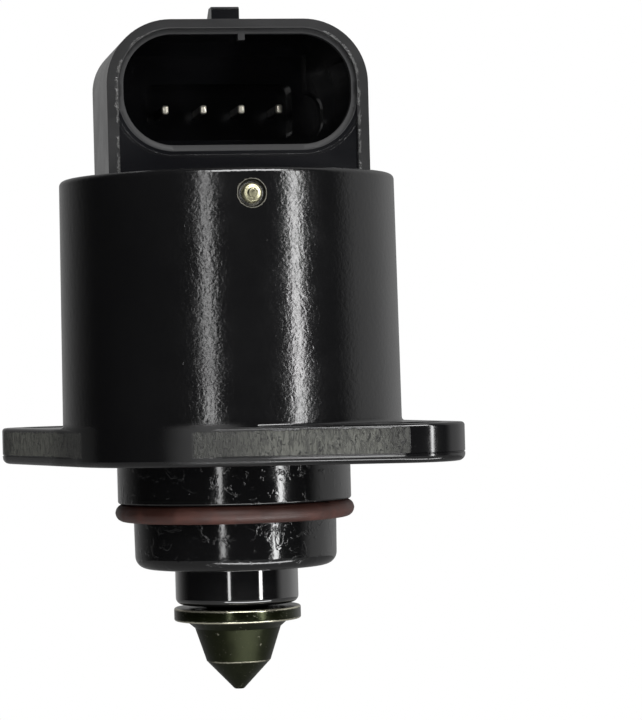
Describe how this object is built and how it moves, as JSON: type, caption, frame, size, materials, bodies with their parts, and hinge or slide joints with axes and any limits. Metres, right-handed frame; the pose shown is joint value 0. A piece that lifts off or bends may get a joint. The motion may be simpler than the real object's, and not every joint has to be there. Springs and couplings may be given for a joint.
{
  "type": "idle air control valve",
  "caption": "Flanged stepper motor valve with a screw-driven conical pintle below and a side-facing plug socket in its plastic cover.",
  "frame": {"origin": "centre of the pilot at the flange's mounting face", "axes": "+Z along the valve's axis towards the plug socket, pintle to -Z, the socket opens to -Y"},
  "size_m": [0.0374, 0.0374, 0.0609],
  "materials": {
    "housing_paint": "gloss black paint over a die casting",
    "cover_plastic": "satin moulded, dark grey",
    "contact_metal": "tin plated, bright",
    "pin_metal": "pale, turned",
    "seal_rubber": "dull",
    "ring_rubber": "dull dark brown",
    "stator_steel": "pressed, zinc plated",
    "bobbin_plastic": "natural moulding",
    "copper_wire": "enamelled copper wire",
    "magnet": "bonded ferrite, dark grey",
    "bearing_steel": "ground and polished",
    "brass": "turned",
    "bronze": "sintered",
    "washer_plastic": "natural moulding",
    "spring_steel": "drawn wire and strip",
    "screw_steel": "rolled",
    "pintle_metal": "glossy dark olive coating on metal"
  },
  "bodies": {
    "housing": {"housing": "housing_paint", "connector_cover": "cover_plastic", "terminal_1": "contact_metal", "terminal_2": "contact_metal", "terminal_3": "contact_metal", "terminal_4": "contact_metal", "cover_pins": "pin_metal", "cover_gasket": "seal_rubber", "lower_pole_cup": "stator_steel", "lower_pole_plate": "stator_steel", "upper_pole_plate": "stator_steel", "upper_pole_cup": "stator_steel", "lower_bobbin": "bobbin_plastic", "upper_bobbin": "bobbin_plastic", "lower_winding": "copper_wire", "upper_winding": "copper_wire", "coil_leads": "copper_wire", "bearing_outer_ring": "bearing_steel", "preload_washer": "spring_steel", "thrust_washer": "washer_plastic", "rear_bush": "bronze", "screw_guide": "washer_plastic", "return_spring": "spring_steel", "o_ring": "ring_rubber"},
    "rotor": {"rotor_magnet": "magnet", "drive_nut": "brass", "bearing_inner_ring": "bearing_steel"},
    "bearing_train": {"bearing_balls": "bearing_steel", "bearing_cage": "brass"},
    "plunger": {"lead_screw": "screw_steel", "pintle": "pintle_metal"}
  },
  "joints": [
    {"name": "rotor_spin", "type": "hinge", "parent": "housing", "child": "rotor", "pos_m": [0, 0, 0], "axis": [0, 0, 1], "range_deg": [0, 2880]},
    {"name": "pintle_slide", "type": "slide", "parent": "housing", "child": "plunger", "axis": [0, 0, -1], "range_m": [0, 0.00801], "deforming": ["return_spring"]},
    {"name": "bearing_roll", "type": "hinge", "parent": "housing", "child": "bearing_train", "pos_m": [0, 0, 0], "axis": [0, 0, 1], "range_deg": [0, 1137]}
  ],
  "couplings": [
    {"joint": "pintle_slide", "follows": "rotor_spin", "m_per_rad": 0.00015915},
    {"joint": "bearing_roll", "follows": "rotor_spin", "ratio": 0.39474}
  ]
}
